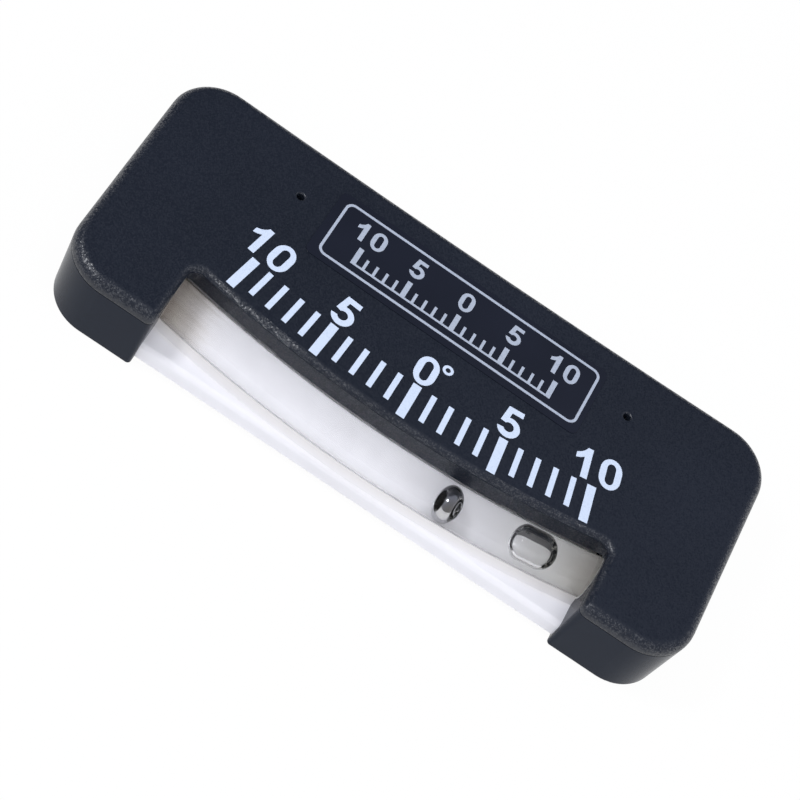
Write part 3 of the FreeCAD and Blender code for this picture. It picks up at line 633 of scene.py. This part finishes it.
# %% Helpers for new pieces
def add_piece(mesh, name, node, body, material):
    """Turn a bmesh into a finished piece that stands for a node of the construction model."""
    bmesh.ops.recalc_face_normals(mesh, faces=mesh.faces[:])
    for face in mesh.faces:
        face.smooth = True
    data = bpy.data.meshes.new(name)
    mesh.to_mesh(data)
    mesh.free()
    data.materials.append(material)
    piece = bpy.data.objects.new(name, data)
    bpy.context.scene.collection.objects.link(piece)
    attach(piece, body)
    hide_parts(node)
    print(name, "has", len(data.polygons), "faces")
    return piece


def let_light_through(piece):
    """Hide a clear piece from shadow rays and from diffuse ones, so that it casts no shadow."""
    piece.visible_shadow = False
    piece.visible_diffuse = False


# %% [markdown]
# ## The bent tube
# The tube is drawn straight, heated and bent round a former, so its centre line is a plain arc. Two
# circles, for the outside and the bore, are swept round the centre of that arc with spin, and their
# ends are bridged. The bore's faces are turned round before that, because a bridge follows the way
# that the faces beside it run, and would cross over itself between two walls that run alike. A fine
# sweep matters here, because glass shows every flat.

# %% The bent tube
TUBE_END = math.radians(13.98)
RING_SEGMENTS = 144
SWEEP_STEPS = 128


def tube_point(angle, lift=0.0):
    """Point of the tube's centre line at an angle from the zero mark, raised by lift."""
    return ARC_CENTRE + Vector((TUBE_ARC * math.sin(angle), -TUBE_ARC * math.cos(angle), lift))


def add_ring(mesh, radius, angle):
    """Add a circle square to the tube's centre line; return its vertices."""
    upright = Matrix.Rotation(math.pi / 2, 4, "Y")
    place = Matrix.Translation(tube_point(angle)) @ Matrix.Rotation(angle, 4, "Z") @ upright
    return bmesh.ops.create_circle(mesh, cap_ends=False, segments=RING_SEGMENTS, radius=radius,
                                   matrix=place)["verts"]


def sweep(mesh, verts, turn_angle):
    """Sweep a ring round the arc's centre; return the vertices it ends on."""
    edges = list(dict.fromkeys(edge for vert in verts for edge in vert.link_edges))
    swept = bmesh.ops.spin(mesh, geom=[*verts, *edges], cent=ARC_CENTRE, axis=(0, 0, 1),
                           dvec=(0, 0, 0), angle=turn_angle, steps=SWEEP_STEPS,
                           use_duplicate=False)
    return [item for item in swept["geom_last"] if isinstance(item, bmesh.types.BMVert)]


def ring_edges(verts):
    """Edges that run between the vertices of one ring."""
    ring = set(verts)
    edges = dict.fromkeys(edge for vert in verts for edge in vert.link_edges)
    return [edge for edge in edges if edge.verts[0] in ring and edge.verts[1] in ring]


mesh = bmesh.new()
inner_start = add_ring(mesh, BORE_RADIUS, -TUBE_END)
inner_end = sweep(mesh, inner_start, 2 * TUBE_END)
bmesh.ops.reverse_faces(mesh, faces=mesh.faces[:])
outer_start = add_ring(mesh, TUBE_RADIUS, -TUBE_END)
outer_end = sweep(mesh, outer_start, 2 * TUBE_END)
for outer, inner in ((outer_start, inner_start), (outer_end, inner_end)):
    bmesh.ops.bridge_loops(mesh, edges=ring_edges(outer) + ring_edges(inner))
add_piece(mesh, "bent_clear_tube", "curved_tube", "housing", TUBE_CLEAR)

# %% [markdown]
# ## The fluid
# The fluid fills the bore between the two plugs. It is one closed rod, a hair narrower than the bore.

# %% The fluid
FLUID_END = math.radians(12.58)
FLUID_GAP = 0.004 * MM

mesh = bmesh.new()
start = add_ring(mesh, BORE_RADIUS - FLUID_GAP, -FLUID_END)
end = sweep(mesh, start, 2 * FLUID_END)
for ring in (start, end):
    bmesh.ops.contextual_create(mesh, geom=ring_edges(ring))
fluid = add_piece(mesh, "fluid_fill", "damping_fluid", "housing", FLUID_CLEAR)
let_light_through(fluid)

# %% [markdown]
# ## The ball
# A ball has no seam and no poles, so it starts from an icosphere, whose triangles are nearly alike.

# %% The ball
BALL_RADIUS = 2.25 * MM
BALL_ANGLE = math.radians(4.1)
BALL_LIFT = -0.23 * MM

mesh = bmesh.new()
bmesh.ops.create_icosphere(mesh, subdivisions=6, radius=BALL_RADIUS,
                           matrix=Matrix.Translation(tube_point(BALL_ANGLE, BALL_LIFT)))
add_piece(mesh, "bearing_ball", "steel_ball", "ball", BALL_STEEL)

# %% [markdown]
# ## The bubble
# The bubble is pressed against the upper side of the bore. It is a little wider than it is high and
# has domed ends. Over its short length the tube hardly bends, so it is straight. It starts as a
# sphere lying along X, which is pulled apart at its middle.

# %% The bubble
BUBBLE_ANGLE = math.radians(8.48)
BUBBLE_LENGTH = 8.0 * MM
BUBBLE_WIDE = 4.6 * MM
BUBBLE_HIGH = 4.1 * MM
BUBBLE_LIFT = 0.39 * MM
# both domes together, a little longer than a ball of the bubble's width
DOMES_LENGTH = BUBBLE_WIDE * 1.1
# a vertex nearer to the middle than this belongs to neither half, and stays
MIDDLE_RING = 1e-6

mesh = bmesh.new()
bmesh.ops.create_uvsphere(mesh, u_segments=96, v_segments=64, radius=1.0,
                          matrix=Matrix.Rotation(math.pi / 2, 4, "Y"))
bmesh.ops.scale(mesh, vec=(DOMES_LENGTH / 2, BUBBLE_WIDE / 2, BUBBLE_HIGH / 2), verts=mesh.verts)
for side in (1, -1):
    half = [v for v in mesh.verts if side * v.co.x > MIDDLE_RING]
    bmesh.ops.translate(mesh, vec=(side * (BUBBLE_LENGTH - DOMES_LENGTH) / 2, 0, 0), verts=half)
bubble_place = (Matrix.Translation(tube_point(BUBBLE_ANGLE, BUBBLE_LIFT))
                @ Matrix.Rotation(BUBBLE_ANGLE, 4, "Z"))
bmesh.ops.transform(mesh, matrix=bubble_place, verts=mesh.verts)
bubble = add_piece(mesh, "air_pocket", "air_bubble", "bubble", AIR)
let_light_through(bubble)

# %% [markdown]
# ## End

# %% End
print("scene dressed")
